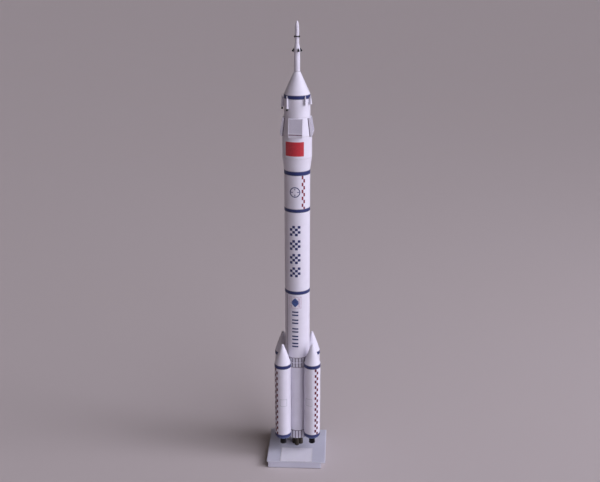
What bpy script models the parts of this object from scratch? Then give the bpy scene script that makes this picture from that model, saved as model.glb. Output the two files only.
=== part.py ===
"""Display model of a staged space rocket with four boosters, glued on a small base.

Metres, +Z up. The origin is on the base's underside, below the middle of its card top, and the
rocket's front faces -Y. The core is a stack of turned card sections, each glued on the one below it.
"""

import math
from collections import namedtuple

import bmesh
import bpy
from mathutils import Matrix, Vector

SEAT = 0.0003               # clearance between pieces that are glued together
FULL_TURN = 2.0 * math.pi
MERGE = 0.00001             # points nearer than this are one point
SHARP_ANGLE = math.radians(30)

# Base: a nearly square card top glued on a slightly narrower block
BASE_WIDTH = 0.0820
BASE_DEPTH = 0.0850
BASE_HEIGHT = 0.011         # upper face of the card top
BASE_TOP_THICKNESS = 0.0012
BASE_EDGE = 0.0003          # rounding of the base's edges
BLOCK_WIDTH = 0.0742
BLOCK_DEPTH = 0.0820
BLOCK_X = -0.0019           # the block is glued on off the middle
BLOCK_TO_FRONT_EDGE = 0.0005
AXIS_TO_BACK_EDGE = 0.0363  # the rocket stands towards the back of the base
ROCKET_TURN = math.radians(3.0)     # the rocket is glued on slightly turned
LABEL_WIDTH = 0.0445
LABEL_DEPTH = 0.0340
LABEL_THICKNESS = 0.0007
LABEL_TO_FRONT_EDGE = 0.0003

# Core
CORE_RADIUS = 0.01675
BAND_PROUD = 0.00015        # thickness of the blue bands wrapped over the tubes
BAND_RADIUS = CORE_RADIUS + BAND_PROUD
FAIRING_RADIUS = 0.01895
CREW_RADIUS = 0.0166        # upper part of the fairing
CONE_TOP_RADIUS = 0.0041
CORE_TAIL = 0.0179          # lower end of the core above the base's top
CORE_TURN = math.radians(-10.5)     # the core's engines and seams are turned this much
CORE_SEGMENTS = 48

# Core engines
ENGINE_CIRCLE = 0.0047      # radius of the circle on which the four engines stand
ENGINE_EXIT_RADIUS = 0.00315
ENGINE_THROAT_RADIUS = 0.0020

# Boosters
BOOSTER_RADIUS = 0.01115
BOOSTER_BAND_RADIUS = BOOSTER_RADIUS + BAND_PROUD
BOOSTER_STAND_OFF = 0.0007  # glue gap between a booster's bands and the core
BOOSTER_CIRCLE = CORE_RADIUS + BOOSTER_STAND_OFF + BOOSTER_BAND_RADIUS
BOOSTER_TAIL = 0.0256
BOOSTER_TAIL_RADIUS = 0.0099
BOOSTER_TAIL_TAPER = 0.0022
BOOSTER_SKIRT_LENGTH = 0.0064
BOOSTER_TUBE_LENGTH = 0.1026
BOOSTER_BAND_LENGTH = 0.0050
BOOSTER_NOSE_LENGTH = 0.0282
BOOSTER_NOSE_TIP_RADIUS = 0.0021    # the cone ends in a ball of this radius
BOOSTER_NOZZLE_EXIT = 0.0141        # height of the nozzle's mouth above the base's top
BOOSTER_NOZZLE_EXIT_RADIUS = 0.0044
BOOSTER_NOZZLE_THROAT_RADIUS = 0.0028
BOOSTER_SEGMENTS = 36
BOOSTER_ANGLES = (45, 135, 225, 315)    # degrees from the front towards +X
TIP_STEPS = 5               # steps along a rounded tip

# Nozzles
NOZZLE_LIP = 0.0005
NOZZLE_DISH = 0.0016        # depth of the dished mouth
NOZZLE_STEPS = 4
NOZZLE_SEGMENTS = 24

# Grid fins, folded against the fairing; radii are from the core's axis to the middle of the face
FIN_TURN = math.radians(-7.2)       # the fins are glued on turned this much
FIN_WIDTH = 0.0179
FIN_BOTTOM_LIP = 0.0052     # height of the slanted underside below the face
FIN_LIP_THICKNESS = 0.0004  # at the lower edge of the underside
FIN_FACE_HEIGHT = 0.0184
FIN_TOP_RADIUS = 0.0176
FIN_FACE_LOW_RADIUS = 0.0209
FIN_TOP_BELOW_SECTION_TOP = 0.0010
FIN_FRAME = 0.0012          # width of the frame round the grid
FIN_RECESS = 0.0003
FIN_INNER_RADIUS = 0.0120   # the block behind the face starts here, before the body is cut out of it

# Motors on the upper fairing, slim upright cones
MOTOR_RADIUS = 0.0019
MOTOR_TIP_RADIUS = 0.0004
MOTOR_CIRCLE = CREW_RADIUS + SEAT + MOTOR_RADIUS
MOTOR_NOZZLE_LENGTH = 0.0026
MOTOR_THROAT_RADIUS = 0.0008
MOTOR_EXIT_RADIUS = 0.0011
MOTOR_TOP_BELOW_CONE = 0.0003
MOTOR_SEGMENTS = 16
LONG_MOTOR = 0.0160         # length without the nozzle; only the long motors have one
SHORT_MOTOR = 0.0112
MOTORS = ((-92, LONG_MOTOR), (-42, LONG_MOTOR), (33, SHORT_MOTOR),
          (63, SHORT_MOTOR), (137, SHORT_MOTOR), (212, LONG_MOTOR))     # angle in degrees, length

# Escape tower
TOWER_RADIUS = 0.00367
TOWER_TUBE_LENGTH = 0.0272
TOWER_TAPER_LENGTH = 0.0068
ROD_RADIUS = 0.0025
ROD_LENGTH = 0.0182
ROD_POINT_LENGTH = 0.0084
TOWER_SEGMENTS = 28

Nozzles = namedtuple("Nozzles", "radius height throat exit length cant turn")
TOWER_RING_HEIGHT = 0.0030
TOWER_RING_THICKNESS = 0.0006
TOWER_RING_BELOW_TAPER = 0.0030
TOWER_RING_NOZZLES = Nozzles(0.0051, 0.0, 0.0007, 0.0013, 0.0036, math.radians(22), math.radians(21))
COLLAR_HEIGHT = 0.0012
COLLAR_THICKNESS = 0.0008
COLLAR_ABOVE_ROD_FOOT = 0.0077
COLLAR_NOZZLES = Nozzles(0.0039, -0.0004, 0.0004, 0.0007, 0.0018, math.radians(35), math.radians(-43))
SMALL_SEGMENTS = 12

# Core sections from the tail up
Section = namedtuple("Section", "name length lower_radius upper_radius colour")
SECTIONS = (
    Section("core_tail_skirt", 0.0128, CORE_RADIUS, CORE_RADIUS, "corrugated"),
    Section("core_lower_tank", 0.0989, CORE_RADIUS, CORE_RADIUS, "white_card"),
    Section("core_intertank", 0.0152, CORE_RADIUS, CORE_RADIUS, "corrugated"),
    Section("core_upper_tank", 0.0938, CORE_RADIUS, CORE_RADIUS, "white_card"),
    Section("stage_band_lower", 0.0047, BAND_RADIUS, BAND_RADIUS, "navy"),
    Section("second_stage_tank", 0.1099, CORE_RADIUS, CORE_RADIUS, "white_card"),
    Section("stage_band_middle", 0.0046, BAND_RADIUS, BAND_RADIUS, "navy"),
    Section("instrument_bay", 0.0446, CORE_RADIUS, CORE_RADIUS, "white_card"),
    Section("stage_band_upper", 0.0053, BAND_RADIUS, BAND_RADIUS, "navy"),
    Section("fairing_boat_tail", 0.0168, CORE_RADIUS, FAIRING_RADIUS, "white_card"),
    Section("fairing_cylinder", 0.0284, FAIRING_RADIUS, FAIRING_RADIUS, "white_card"),
    Section("fairing_fin_section", 0.0236, FAIRING_RADIUS, CREW_RADIUS, "white_card"),
    Section("fairing_upper_cylinder", 0.0228, CREW_RADIUS, CREW_RADIUS, "white_card"),
    Section("fairing_band", 0.0048, CREW_RADIUS + BAND_PROUD, CREW_RADIUS + BAND_PROUD, "navy"),
    Section("fairing_cone", 0.0281, CREW_RADIUS, CONE_TOP_RADIUS, "white_card"),
)

# Colours: red, green, blue, roughness
COLOURS = {
    "white_card": (0.84, 0.83, 0.87, 0.55),
    "base_card": (0.76, 0.74, 0.78, 0.60),
    "label": (0.80, 0.79, 0.82, 0.50),
    "navy": (0.03, 0.035, 0.12, 0.50),
    "corrugated": (0.50, 0.46, 0.46, 0.60),
    "fin_grey": (0.62, 0.62, 0.64, 0.55),
    "nozzle_brown": (0.05, 0.04, 0.03, 0.45),
    "nozzle_black": (0.015, 0.015, 0.018, 0.40),
}


def clear_scene():
    """Remove what the scene holds at the start."""
    for obj in list(bpy.data.objects):
        bpy.data.objects.remove(obj, do_unlink=True)


def new_collection(name):
    """A collection linked to the scene."""
    collection = bpy.data.collections.new(name)
    bpy.context.scene.collection.children.link(collection)
    return collection


def make_materials():
    """One Principled material for each colour."""
    materials = {}
    for name, (red, green, blue, roughness) in COLOURS.items():
        material = bpy.data.materials.new(name)
        material.use_nodes = True
        shader = material.node_tree.nodes["Principled BSDF"]
        shader.inputs["Base Color"].default_value = (red, green, blue, 1.0)
        shader.inputs["Roughness"].default_value = roughness
        shader.inputs["Metallic"].default_value = 0.0
        material.diffuse_color = (red, green, blue, 1.0)
        materials[name] = material
    return materials


def add_piece(name, mesh, colour, parent=None, location=(0.0, 0.0, 0.0), turn=0.0):
    """Put a mesh in the model as a named piece, turned about its upright axis."""
    piece = bpy.data.objects.new(name, mesh)
    MODEL.objects.link(piece)
    if not mesh.materials:
        mesh.materials.append(MATERIALS[colour])
    piece.parent = parent
    piece.location = location
    piece.rotation_euler = (0.0, 0.0, turn)
    return piece


def add_cutter(name, mesh, matrix):
    """Put a mesh among the cutters, where it shows as wire and never renders."""
    cutter = bpy.data.objects.new(name, mesh)
    CUTTERS.objects.link(cutter)
    cutter.matrix_world = matrix
    cutter.display_type = "WIRE"
    cutter.hide_render = True
    return cutter


def boolean(piece, cutter, operation):
    """Cut a piece with a cutter, or join the cutter to it."""
    modifier = piece.modifiers.new(cutter.name, "BOOLEAN")
    modifier.operation = operation
    modifier.solver = "EXACT"
    modifier.object = cutter


def evaluated_mesh(source):
    """The mesh that a curve, or an object with modifiers, evaluates to."""
    bpy.context.view_layer.update()
    depsgraph = bpy.context.evaluated_depsgraph_get()
    return bpy.data.meshes.new_from_object(source.evaluated_get(depsgraph))


def turned_mesh(name, profile, segments):
    """Turn a profile of (radius, height) points, listed from the top down its outer side."""
    guide_mesh = bpy.data.meshes.new(name)
    points = [(radius, 0.0, height) for radius, height in profile]
    closed = profile[0][0] > 0.0
    edges = [(i, i + 1) for i in range(len(points) - 1)]
    if closed:
        edges.append((len(points) - 1, 0))
    guide_mesh.from_pydata(points, edges, [])
    guide = bpy.data.objects.new(name + "_profile", guide_mesh)
    MODEL.objects.link(guide)
    screw = guide.modifiers.new("Screw", "SCREW")
    screw.axis = "Z"
    screw.angle = FULL_TURN
    screw.steps = segments
    screw.render_steps = segments
    screw.use_merge_vertices = True
    screw.merge_threshold = MERGE
    mesh = evaluated_mesh(guide)
    bpy.data.objects.remove(guide, do_unlink=True)
    mesh.name = name
    mesh.shade_smooth()
    mesh.set_sharp_from_angle(angle=SHARP_ANGLE)
    return mesh


def solid_profile(outline):
    """Close a list of (radius, height) points, none of them on the axis, with the axis points of its ends."""
    return [(0.0, outline[0][1])] + list(outline) + [(0.0, outline[-1][1])]


def tipped_profile(tip, outline):
    """Like solid_profile, with a rounded tip (its radius, depth and top) above the outline's first point."""
    radius, depth, top = tip
    arc = []
    for step in range(TIP_STEPS):
        angle = step / TIP_STEPS * math.pi / 2
        arc.append((radius * math.sin(angle), top - depth * (1.0 - math.cos(angle))))
    return arc + list(outline) + [(0.0, outline[-1][1])]


def extruded_mesh(name, outline, thickness):
    """A flat outline in the XY plane, made into a solid of the given thickness about that plane."""
    curve = bpy.data.curves.new(name, "CURVE")
    curve.dimensions = "2D"
    curve.fill_mode = "BOTH"
    curve.extrude = thickness / 2
    spline = curve.splines.new("POLY")
    spline.points.add(len(outline) - 1)
    for point, (x, y) in zip(spline.points, outline):
        point.co = (x, y, 0.0, 1.0)
    spline.use_cyclic_u = True
    guide = bpy.data.objects.new(name, curve)
    MODEL.objects.link(guide)
    mesh = evaluated_mesh(guide)
    bpy.data.objects.remove(guide, do_unlink=True)
    work = bmesh.new()
    work.from_mesh(mesh)
    bmesh.ops.remove_doubles(work, verts=work.verts, dist=MERGE)
    work.to_mesh(mesh)
    work.free()
    return mesh


def box_mesh(name, size):
    """A box of the given size about its own centre."""
    mesh = bpy.data.meshes.new(name)
    work = bmesh.new()
    bmesh.ops.create_cube(work, size=1.0, matrix=Matrix.Diagonal((*size, 1.0)))
    work.to_mesh(mesh)
    work.free()
    return mesh


def bell_mesh(name, throat, mouth, length):
    """A bell nozzle, throat up at height 0, mouth down at -length with a shallow dish in it."""
    outline = []
    for step in range(NOZZLE_STEPS + 1):
        share = step / NOZZLE_STEPS
        outline.append((throat + (mouth - throat) * math.sin(share * math.pi / 2), -length * share))
    outline.append((mouth - NOZZLE_LIP, -length))
    profile = [(0.0, 0.0)] + outline + [(0.0, -length + NOZZLE_DISH)]
    return turned_mesh(name, profile, NOZZLE_SEGMENTS)


def on_circle(radius, angle, height=0.0):
    """A point at a radius from the parent's axis; angle 0 is the front, -Y, and angles go to +X."""
    return Vector((radius * math.sin(angle), -radius * math.cos(angle), height))


def make_base():
    """The block, its card top and the blank label plate on that."""
    front = -BASE_DEPTH / 2
    block_height = BASE_HEIGHT - BASE_TOP_THICKNESS - SEAT
    pieces = (
        ("base_plinth", (BLOCK_WIDTH, BLOCK_DEPTH, block_height),
         (BLOCK_X, front + BLOCK_TO_FRONT_EDGE + BLOCK_DEPTH / 2, block_height / 2)),
        ("base_top", (BASE_WIDTH, BASE_DEPTH, BASE_TOP_THICKNESS),
         (0.0, 0.0, BASE_HEIGHT - BASE_TOP_THICKNESS / 2)),
    )
    for name, size, middle in pieces:
        piece = add_piece(name, box_mesh(name, size), "base_card", location=middle)
        bevel = piece.modifiers.new("Edges", "BEVEL")
        bevel.width = BASE_EDGE
        bevel.segments = 2
    label_y = front + LABEL_TO_FRONT_EDGE + LABEL_DEPTH / 2
    label_z = BASE_HEIGHT + SEAT + LABEL_THICKNESS / 2
    add_piece("label_plate", box_mesh("label_plate", (LABEL_WIDTH, LABEL_DEPTH, LABEL_THICKNESS)), "label",
              location=(0.0, label_y, label_z))


def make_core(axis):
    """The stacked sections of the core; returns the height of each section's foot by name."""
    feet = {}
    height = CORE_TAIL
    for section in SECTIONS:
        feet[section.name] = height
        outline = [(section.upper_radius, section.length - SEAT), (section.lower_radius, 0.0)]
        mesh = turned_mesh(section.name, solid_profile(outline), CORE_SEGMENTS)
        add_piece(section.name, mesh, section.colour, axis, (0.0, 0.0, height), CORE_TURN)
        height += section.length
    feet["tower"] = height
    return feet


def make_engines(axis):
    """The four bells under the core, standing on the base."""
    mesh = bell_mesh("core_nozzle", ENGINE_THROAT_RADIUS, ENGINE_EXIT_RADIUS, CORE_TAIL - 2 * SEAT)
    for index in range(4):
        angle = CORE_TURN + index * math.pi / 2
        add_piece(f"core_nozzle_{index + 1}", mesh, "nozzle_brown", axis,
                  on_circle(ENGINE_CIRCLE, angle, CORE_TAIL - SEAT), angle)


def make_boosters(axis):
    """Four boosters against the core: nozzle, skirt, tube, band and nose cone each."""
    skirt = solid_profile([(BOOSTER_BAND_RADIUS, BOOSTER_SKIRT_LENGTH - SEAT),
                           (BOOSTER_BAND_RADIUS, BOOSTER_TAIL_TAPER), (BOOSTER_TAIL_RADIUS, 0.0)])
    tube = solid_profile([(BOOSTER_RADIUS, BOOSTER_TUBE_LENGTH - SEAT), (BOOSTER_RADIUS, 0.0)])
    band = solid_profile([(BOOSTER_BAND_RADIUS, BOOSTER_BAND_LENGTH - SEAT), (BOOSTER_BAND_RADIUS, 0.0)])
    tip = BOOSTER_NOSE_TIP_RADIUS
    nose = tipped_profile((tip, tip, BOOSTER_NOSE_LENGTH),
                          [(tip, BOOSTER_NOSE_LENGTH - tip), (BOOSTER_RADIUS, 0.0)])
    nozzle = bell_mesh("booster_nozzle", BOOSTER_NOZZLE_THROAT_RADIUS, BOOSTER_NOZZLE_EXIT_RADIUS,
                       BOOSTER_TAIL - SEAT - BOOSTER_NOZZLE_EXIT)
    stack = (
        ("skirt", skirt, BOOSTER_SKIRT_LENGTH, "navy"),
        ("tube", tube, BOOSTER_TUBE_LENGTH, "white_card"),
        ("band", band, BOOSTER_BAND_LENGTH, "navy"),
        ("nose", nose, BOOSTER_NOSE_LENGTH, "white_card"),
    )
    parts = []
    height = BOOSTER_TAIL
    for part, profile, length, colour in stack:
        parts.append((part, turned_mesh(f"booster_{part}", profile, BOOSTER_SEGMENTS), height, colour))
        height += length
    parts.append(("nozzle", nozzle, BOOSTER_TAIL - SEAT, "nozzle_black"))
    for index, degrees in enumerate(BOOSTER_ANGLES):
        holder = bpy.data.objects.new(f"booster_{index + 1}_axis", None)
        MODEL.objects.link(holder)
        holder.parent = axis
        holder.location = on_circle(BOOSTER_CIRCLE, math.radians(degrees))
        for part, mesh, foot, colour in parts:
            add_piece(f"booster_{index + 1}_{part}", mesh, colour, holder, (0.0, 0.0, foot))


def make_fins(axis, section_foot):
    """Four folded grid fins: wedge-shaped frames with a sunk face, hollowed to the fairing's cone."""
    section = next(item for item in SECTIONS if item.name == "fairing_fin_section")
    top = section_foot + section.length - FIN_TOP_BELOW_SECTION_TOP
    face_foot = top - FIN_FACE_HEIGHT
    bottom = face_foot - FIN_BOTTOM_LIP
    taper = (section.upper_radius - section.lower_radius) / section.length

    lip = section.lower_radius + taper * max(0.0, bottom - section_foot) + SEAT + FIN_LIP_THICKNESS
    outline = [(FIN_INNER_RADIUS, bottom), (lip, bottom),
               (FIN_FACE_LOW_RADIUS, face_foot), (FIN_TOP_RADIUS, top), (FIN_INNER_RADIUS, top)]
    clearance = solid_profile([(section.upper_radius + SEAT, section.length), (section.lower_radius + SEAT, 0.0),
                               (section.lower_radius + SEAT, -FIN_BOTTOM_LIP)])
    body_cutter = add_cutter("fin_body_cutter", turned_mesh("fin_body_cutter", clearance, CORE_SEGMENTS),
                             axis.matrix_world @ Matrix.Translation((0.0, 0.0, section_foot))
                             @ Matrix.Rotation(CORE_TURN, 4, "Z"))
    slope = Vector((FIN_TOP_RADIUS - FIN_FACE_LOW_RADIUS, top - face_foot))
    lean = math.atan2(slope.x, slope.y)
    middle = Vector(((FIN_TOP_RADIUS + FIN_FACE_LOW_RADIUS) / 2, (top + face_foot) / 2))
    recess_size = (2 * FIN_RECESS, FIN_WIDTH - 2 * FIN_FRAME, slope.length - 2 * FIN_FRAME)
    # The outline is drawn as (radius, height) in XY, stood up so that radius points to the front.
    stand_up = Matrix(((0, 0, 1, 0), (-1, 0, 0, 0), (0, 1, 0, 0), (0, 0, 0, 1)))
    for index in range(4):
        mesh = extruded_mesh(f"grid_fin_{index + 1}", outline, FIN_WIDTH)
        mesh.transform(stand_up)
        angle = FIN_TURN + index * math.pi / 2
        fin = add_piece(mesh.name, mesh, "fin_grey", axis, turn=angle)
        recess = add_cutter(f"fin_recess_{index + 1}", box_mesh(f"fin_recess_{index + 1}", recess_size),
                            axis.matrix_world @ Matrix.Rotation(angle - math.pi / 2, 4, "Z")
                            @ Matrix.Translation((middle.x, 0.0, middle.y)) @ Matrix.Rotation(lean, 4, "Y"))
        boolean(fin, body_cutter, "DIFFERENCE")
        boolean(fin, recess, "DIFFERENCE")


def make_motors(axis, cone_foot):
    """Slim motors round the upper fairing, the long ones with a nozzle at the bottom."""
    top = cone_foot - MOTOR_TOP_BELOW_CONE
    meshes = {}
    for length in (LONG_MOTOR, SHORT_MOTOR):
        outline = [(MOTOR_TIP_RADIUS, 0.0), (MOTOR_RADIUS, -length)]
        if length == LONG_MOTOR:
            outline += [(MOTOR_THROAT_RADIUS, -length), (MOTOR_EXIT_RADIUS, -length - MOTOR_NOZZLE_LENGTH)]
        meshes[length] = turned_mesh("fairing_motor", solid_profile(outline), MOTOR_SEGMENTS)
    for index, (degrees, length) in enumerate(MOTORS):
        angle = math.radians(degrees)
        add_piece(f"fairing_motor_{index + 1}", meshes[length], "white_card", axis,
                  on_circle(MOTOR_CIRCLE, angle, top), angle)


def nozzle_ring(name, axis, foot, inner_radius, thickness, height, nozzles):
    """A thin ring round the tower with four small canted nozzles joined to it."""
    outer = inner_radius + thickness
    profile = [(inner_radius, height), (outer, height), (outer, 0.0), (inner_radius, 0.0)]
    ring = add_piece(name, turned_mesh(name, profile, TOWER_SEGMENTS), "nozzle_black", axis, (0.0, 0.0, foot))
    for index in range(4):
        angle = nozzles.turn + index * math.pi / 2
        mesh = bpy.data.meshes.new(f"{name}_nozzle_{index + 1}")
        work = bmesh.new()
        bmesh.ops.create_cone(work, cap_ends=True, segments=SMALL_SEGMENTS, radius1=nozzles.exit,
                              radius2=nozzles.throat, depth=nozzles.length)
        work.to_mesh(mesh)
        work.free()
        place = (axis.matrix_world @ Matrix.Rotation(angle, 4, "Z")
                 @ Matrix.Translation((0.0, -nozzles.radius, foot + height / 2 + nozzles.height))
                 @ Matrix.Rotation(-nozzles.cant, 4, "X"))
        boolean(ring, add_cutter(mesh.name, mesh, place), "UNION")


def make_tower(axis, foot):
    """The escape tower: tube, rod with a pointed tip, and two rings of small nozzles."""
    taper_foot = TOWER_TUBE_LENGTH
    tube_length = TOWER_TUBE_LENGTH + TOWER_TAPER_LENGTH
    tube = [(ROD_RADIUS, tube_length - SEAT), (TOWER_RADIUS, taper_foot), (TOWER_RADIUS, 0.0)]
    tube_mesh = turned_mesh("tower_tube", solid_profile(tube), TOWER_SEGMENTS)
    add_piece("tower_tube", tube_mesh, "white_card", axis, (0.0, 0.0, foot))
    rod = tipped_profile((ROD_RADIUS, ROD_POINT_LENGTH, ROD_LENGTH + ROD_POINT_LENGTH),
                         [(ROD_RADIUS, ROD_LENGTH), (ROD_RADIUS, 0.0)])
    rod_foot = foot + tube_length
    rod_mesh = turned_mesh("tower_rod", rod, TOWER_SEGMENTS)
    add_piece("tower_rod", rod_mesh, "white_card", axis, (0.0, 0.0, rod_foot))
    nozzle_ring("tower_nozzle_ring", axis, foot + taper_foot - TOWER_RING_BELOW_TAPER, TOWER_RADIUS + SEAT,
                TOWER_RING_THICKNESS, TOWER_RING_HEIGHT, TOWER_RING_NOZZLES)
    nozzle_ring("tower_collar", axis, rod_foot + COLLAR_ABOVE_ROD_FOOT, ROD_RADIUS + SEAT,
                COLLAR_THICKNESS, COLLAR_HEIGHT, COLLAR_NOZZLES)


clear_scene()
MODEL = new_collection("space_rocket_model")
CUTTERS = new_collection("cutters")
MATERIALS = make_materials()

rocket_axis = bpy.data.objects.new("rocket_axis", None)
MODEL.objects.link(rocket_axis)
rocket_axis.location = (0.0, BASE_DEPTH / 2 - AXIS_TO_BACK_EDGE, BASE_HEIGHT)
rocket_axis.rotation_euler = (0.0, 0.0, ROCKET_TURN)
bpy.context.view_layer.update()

make_base()
section_feet = make_core(rocket_axis)
make_engines(rocket_axis)
make_boosters(rocket_axis)
make_fins(rocket_axis, section_feet["fairing_fin_section"])
make_motors(rocket_axis, section_feet["fairing_cone"])
make_tower(rocket_axis, section_feet["tower"])
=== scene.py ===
"""Looks of a card display model of a staged space rocket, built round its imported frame.

Metres, +Z up. Angles round the rocket are in degrees from the camera's side, positive to the right.
"""

import math

import bpy
import numpy as np
from mathutils import Matrix, Vector


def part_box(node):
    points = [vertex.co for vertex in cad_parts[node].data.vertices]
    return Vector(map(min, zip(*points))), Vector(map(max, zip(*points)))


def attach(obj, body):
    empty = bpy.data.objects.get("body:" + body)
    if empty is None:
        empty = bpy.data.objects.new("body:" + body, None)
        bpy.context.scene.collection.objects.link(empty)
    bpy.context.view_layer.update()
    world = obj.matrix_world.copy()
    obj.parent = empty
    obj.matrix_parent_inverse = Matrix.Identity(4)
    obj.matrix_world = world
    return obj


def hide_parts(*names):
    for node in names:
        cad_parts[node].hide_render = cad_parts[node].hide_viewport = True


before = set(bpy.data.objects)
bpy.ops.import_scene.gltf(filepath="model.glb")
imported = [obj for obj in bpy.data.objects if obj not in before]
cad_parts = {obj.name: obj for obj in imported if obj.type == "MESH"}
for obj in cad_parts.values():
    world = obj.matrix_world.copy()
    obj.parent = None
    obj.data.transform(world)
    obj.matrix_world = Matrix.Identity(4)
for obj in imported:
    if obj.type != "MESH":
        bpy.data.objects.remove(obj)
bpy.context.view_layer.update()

MM = 0.001
FULL_TURN = 360.0
QUARTER_TURN = 90.0


def low(node):
    """Height of a node's lowest point."""
    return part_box(node)[0].z


def high(node):
    """Height of a node's highest point."""
    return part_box(node)[1].z


def middle(node):
    """Middle of a node's box."""
    lowest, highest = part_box(node)
    return (lowest + highest) / 2


def radius_of(node):
    """Greatest radius of a round node about its own axis."""
    centre = middle(node)
    return max(math.hypot(v.co.x - centre.x, v.co.y - centre.y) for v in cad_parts[node].data.vertices)


# Places read from the frame
AXIS = middle("core_lower_tank")
BOOSTER_ANGLES = (45.0, 135.0, 225.0, 315.0)
FIRST_BOOSTER = middle("booster_1_tube") - AXIS
TURN = math.degrees(math.atan2(FIRST_BOOSTER.x, -FIRST_BOOSTER.y)) - BOOSTER_ANGLES[0]
CORE_RADIUS = radius_of("core_lower_tank")
FAIRING_RADIUS = radius_of("fairing_cylinder")
CREW_RADIUS = radius_of("fairing_upper_cylinder")
BOOSTER_RADIUS = radius_of("booster_1_tube")
TOWER_RADIUS = radius_of("tower_tube")
ROD_RADIUS = radius_of("tower_rod")
CORE_TURN = -10.5  # the core's own front
FIN_TURN = -7.2  # the front fin's
LAP_ANGLE = 171.0  # where the card sleeves overlap, at the back

# Card work
SEGMENTS = 144  # round the core
BOOSTER_SEGMENTS = 96
LATTICE_SEGMENTS = 96
TOWER_SEGMENTS = 64
SMALL_SEGMENTS = 48
NEAR_CUT = 0.4  # degrees; even angles nearer than this to a cut are left out
TINY = 0.01 * MM  # a ring smaller than this needs no cap, and heights this close are level
LIP = 0.12 * MM  # rounding of a sleeve's cut edge
LIP_SHARE = 0.3  # where the rounding is drawn, as a share of the lip
WEAR_REACH = 0.9 * MM  # how far wear reaches in from a cut edge
JOINT_LINE = 0.05 * MM  # open line left between two sleeves
LAP_STEP = 0.13 * MM  # thickness of the overlapping card
LAP_WIDTH = 11.0  # degrees
LAP_RISE = 0.25  # share of the lap over which it rises
LAP_DROP = 0.05  # degrees over which it ends
LAP_WORN = 0.5  # degrees of wear along its end
INK = 0.03 * MM  # how far a printed patch stands over the card
INK_ROOT = 0.06 * MM  # how far it reaches into the card
PATCH_STEP = 2.0  # degrees between the points of a patch
PRINT_SHARP = 20.0  # degrees from which edges of patches and boxes are sharp

# Printed marks: heights above the floor (lists of them in mm), angles from the camera's side
RED = dict(low=439.1 * MM, high=457.4 * MM, angle=-12.0, width=25.4 * MM, border=0.9 * MM)
BAY_STRIPE = dict(angle=28.0, column=2.4 * MM, check=4.6 * MM)
BOOSTER_STRIPE = dict(column=2.85 * MM, check=4.3 * MM)
FRONT_STRIPE_ANGLES = {0: 31.0, 3: -52.0}  # of the two boosters in front
RING = dict(height=391.6 * MM, outer=6.9 * MM, inner=5.7 * MM, steps=72)
TICK = dict(long=2.4 * MM, wide=1.0 * MM, inset=1.7 * MM)
BIG_MARKS = dict(heights=(339.45, 319.9, 300.7, 281.9), width=14.4 * MM, tall=14.0 * MM, checks=4)
SMALL_MARKS = dict(heights=(221.95, 210.2, 197.3, 186.0, 175.4), width=8.6 * MM, bar=2.0 * MM, gap=2.6 * MM)
EMBLEM = dict(height=238.1 * MM, side=17.0 * MM, reach=6.6 * MM, rim=0.8 * MM, bar=2.4 * MM, inset=3.0 * MM)
RACEWAY = dict(angle=-53.0, width=0.7 * MM)
HATCH = dict(low=88.6 * MM, high=99.4 * MM, width=9.8 * MM, line=0.4 * MM, beside=57.0)
# The lattice print: bars round the core, dark and thin bars as shares of their pitch, lines in metres
LATTICE = dict(bars=24, dark=0.30, thin=0.07, edge=0.7 * MM, light=0.9 * MM, rung=0.22 * MM)
RUNGS = (0.17, 0.33, 0.67, 0.83)  # heights of its rungs as shares of the sleeve

COLOURS = {
    "card": (0.80, 0.78, 0.86),
    "card_shade": (0.735, 0.716, 0.787),
    "card_edge": (0.60, 0.58, 0.60),
    "board": (0.625, 0.625, 0.715),
    "board_shade": (0.56, 0.56, 0.65),
    "label": (0.85, 0.84, 0.90),
    "navy": (0.022, 0.034, 0.140),
    "navy_light": (0.06, 0.13, 0.36),
    "red": (0.60, 0.032, 0.048),
    "red_shade": (0.50, 0.024, 0.038),
    "check": (0.13, 0.009, 0.026),
    "check_shade": (0.11, 0.008, 0.022),
    "bay_check": (0.25, 0.011, 0.034),
    "blue": (0.05, 0.065, 0.21),
    "pink": (0.56, 0.40, 0.50),
    "lattice": (0.20, 0.165, 0.215),
    "line": (0.40, 0.43, 0.45),
    "dark_line": (0.16, 0.13, 0.17),
    "fin": (0.66, 0.635, 0.71),
    # darker copy of the fin card for the back card behind the grid: painted shade of the recess
    "fin_back": (0.58, 0.555, 0.62),
    "fin_foot": (0.42, 0.27, 0.34),
    "brown": (0.040, 0.032, 0.022),
    "brown_light": (0.085, 0.070, 0.048),
    "black": (0.003, 0.003, 0.005),
    "grey_wear": (0.03, 0.03, 0.034),
    "floor": (0.603, 0.543, 0.529),
}
FIBRE = 0.35 * MM
FIBRE_STRETCH = (1.0, 1.0, 2.2)
RIPPLE = 9.0 * MM
RIPPLE_DEPTH = 0.05 * MM


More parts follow.
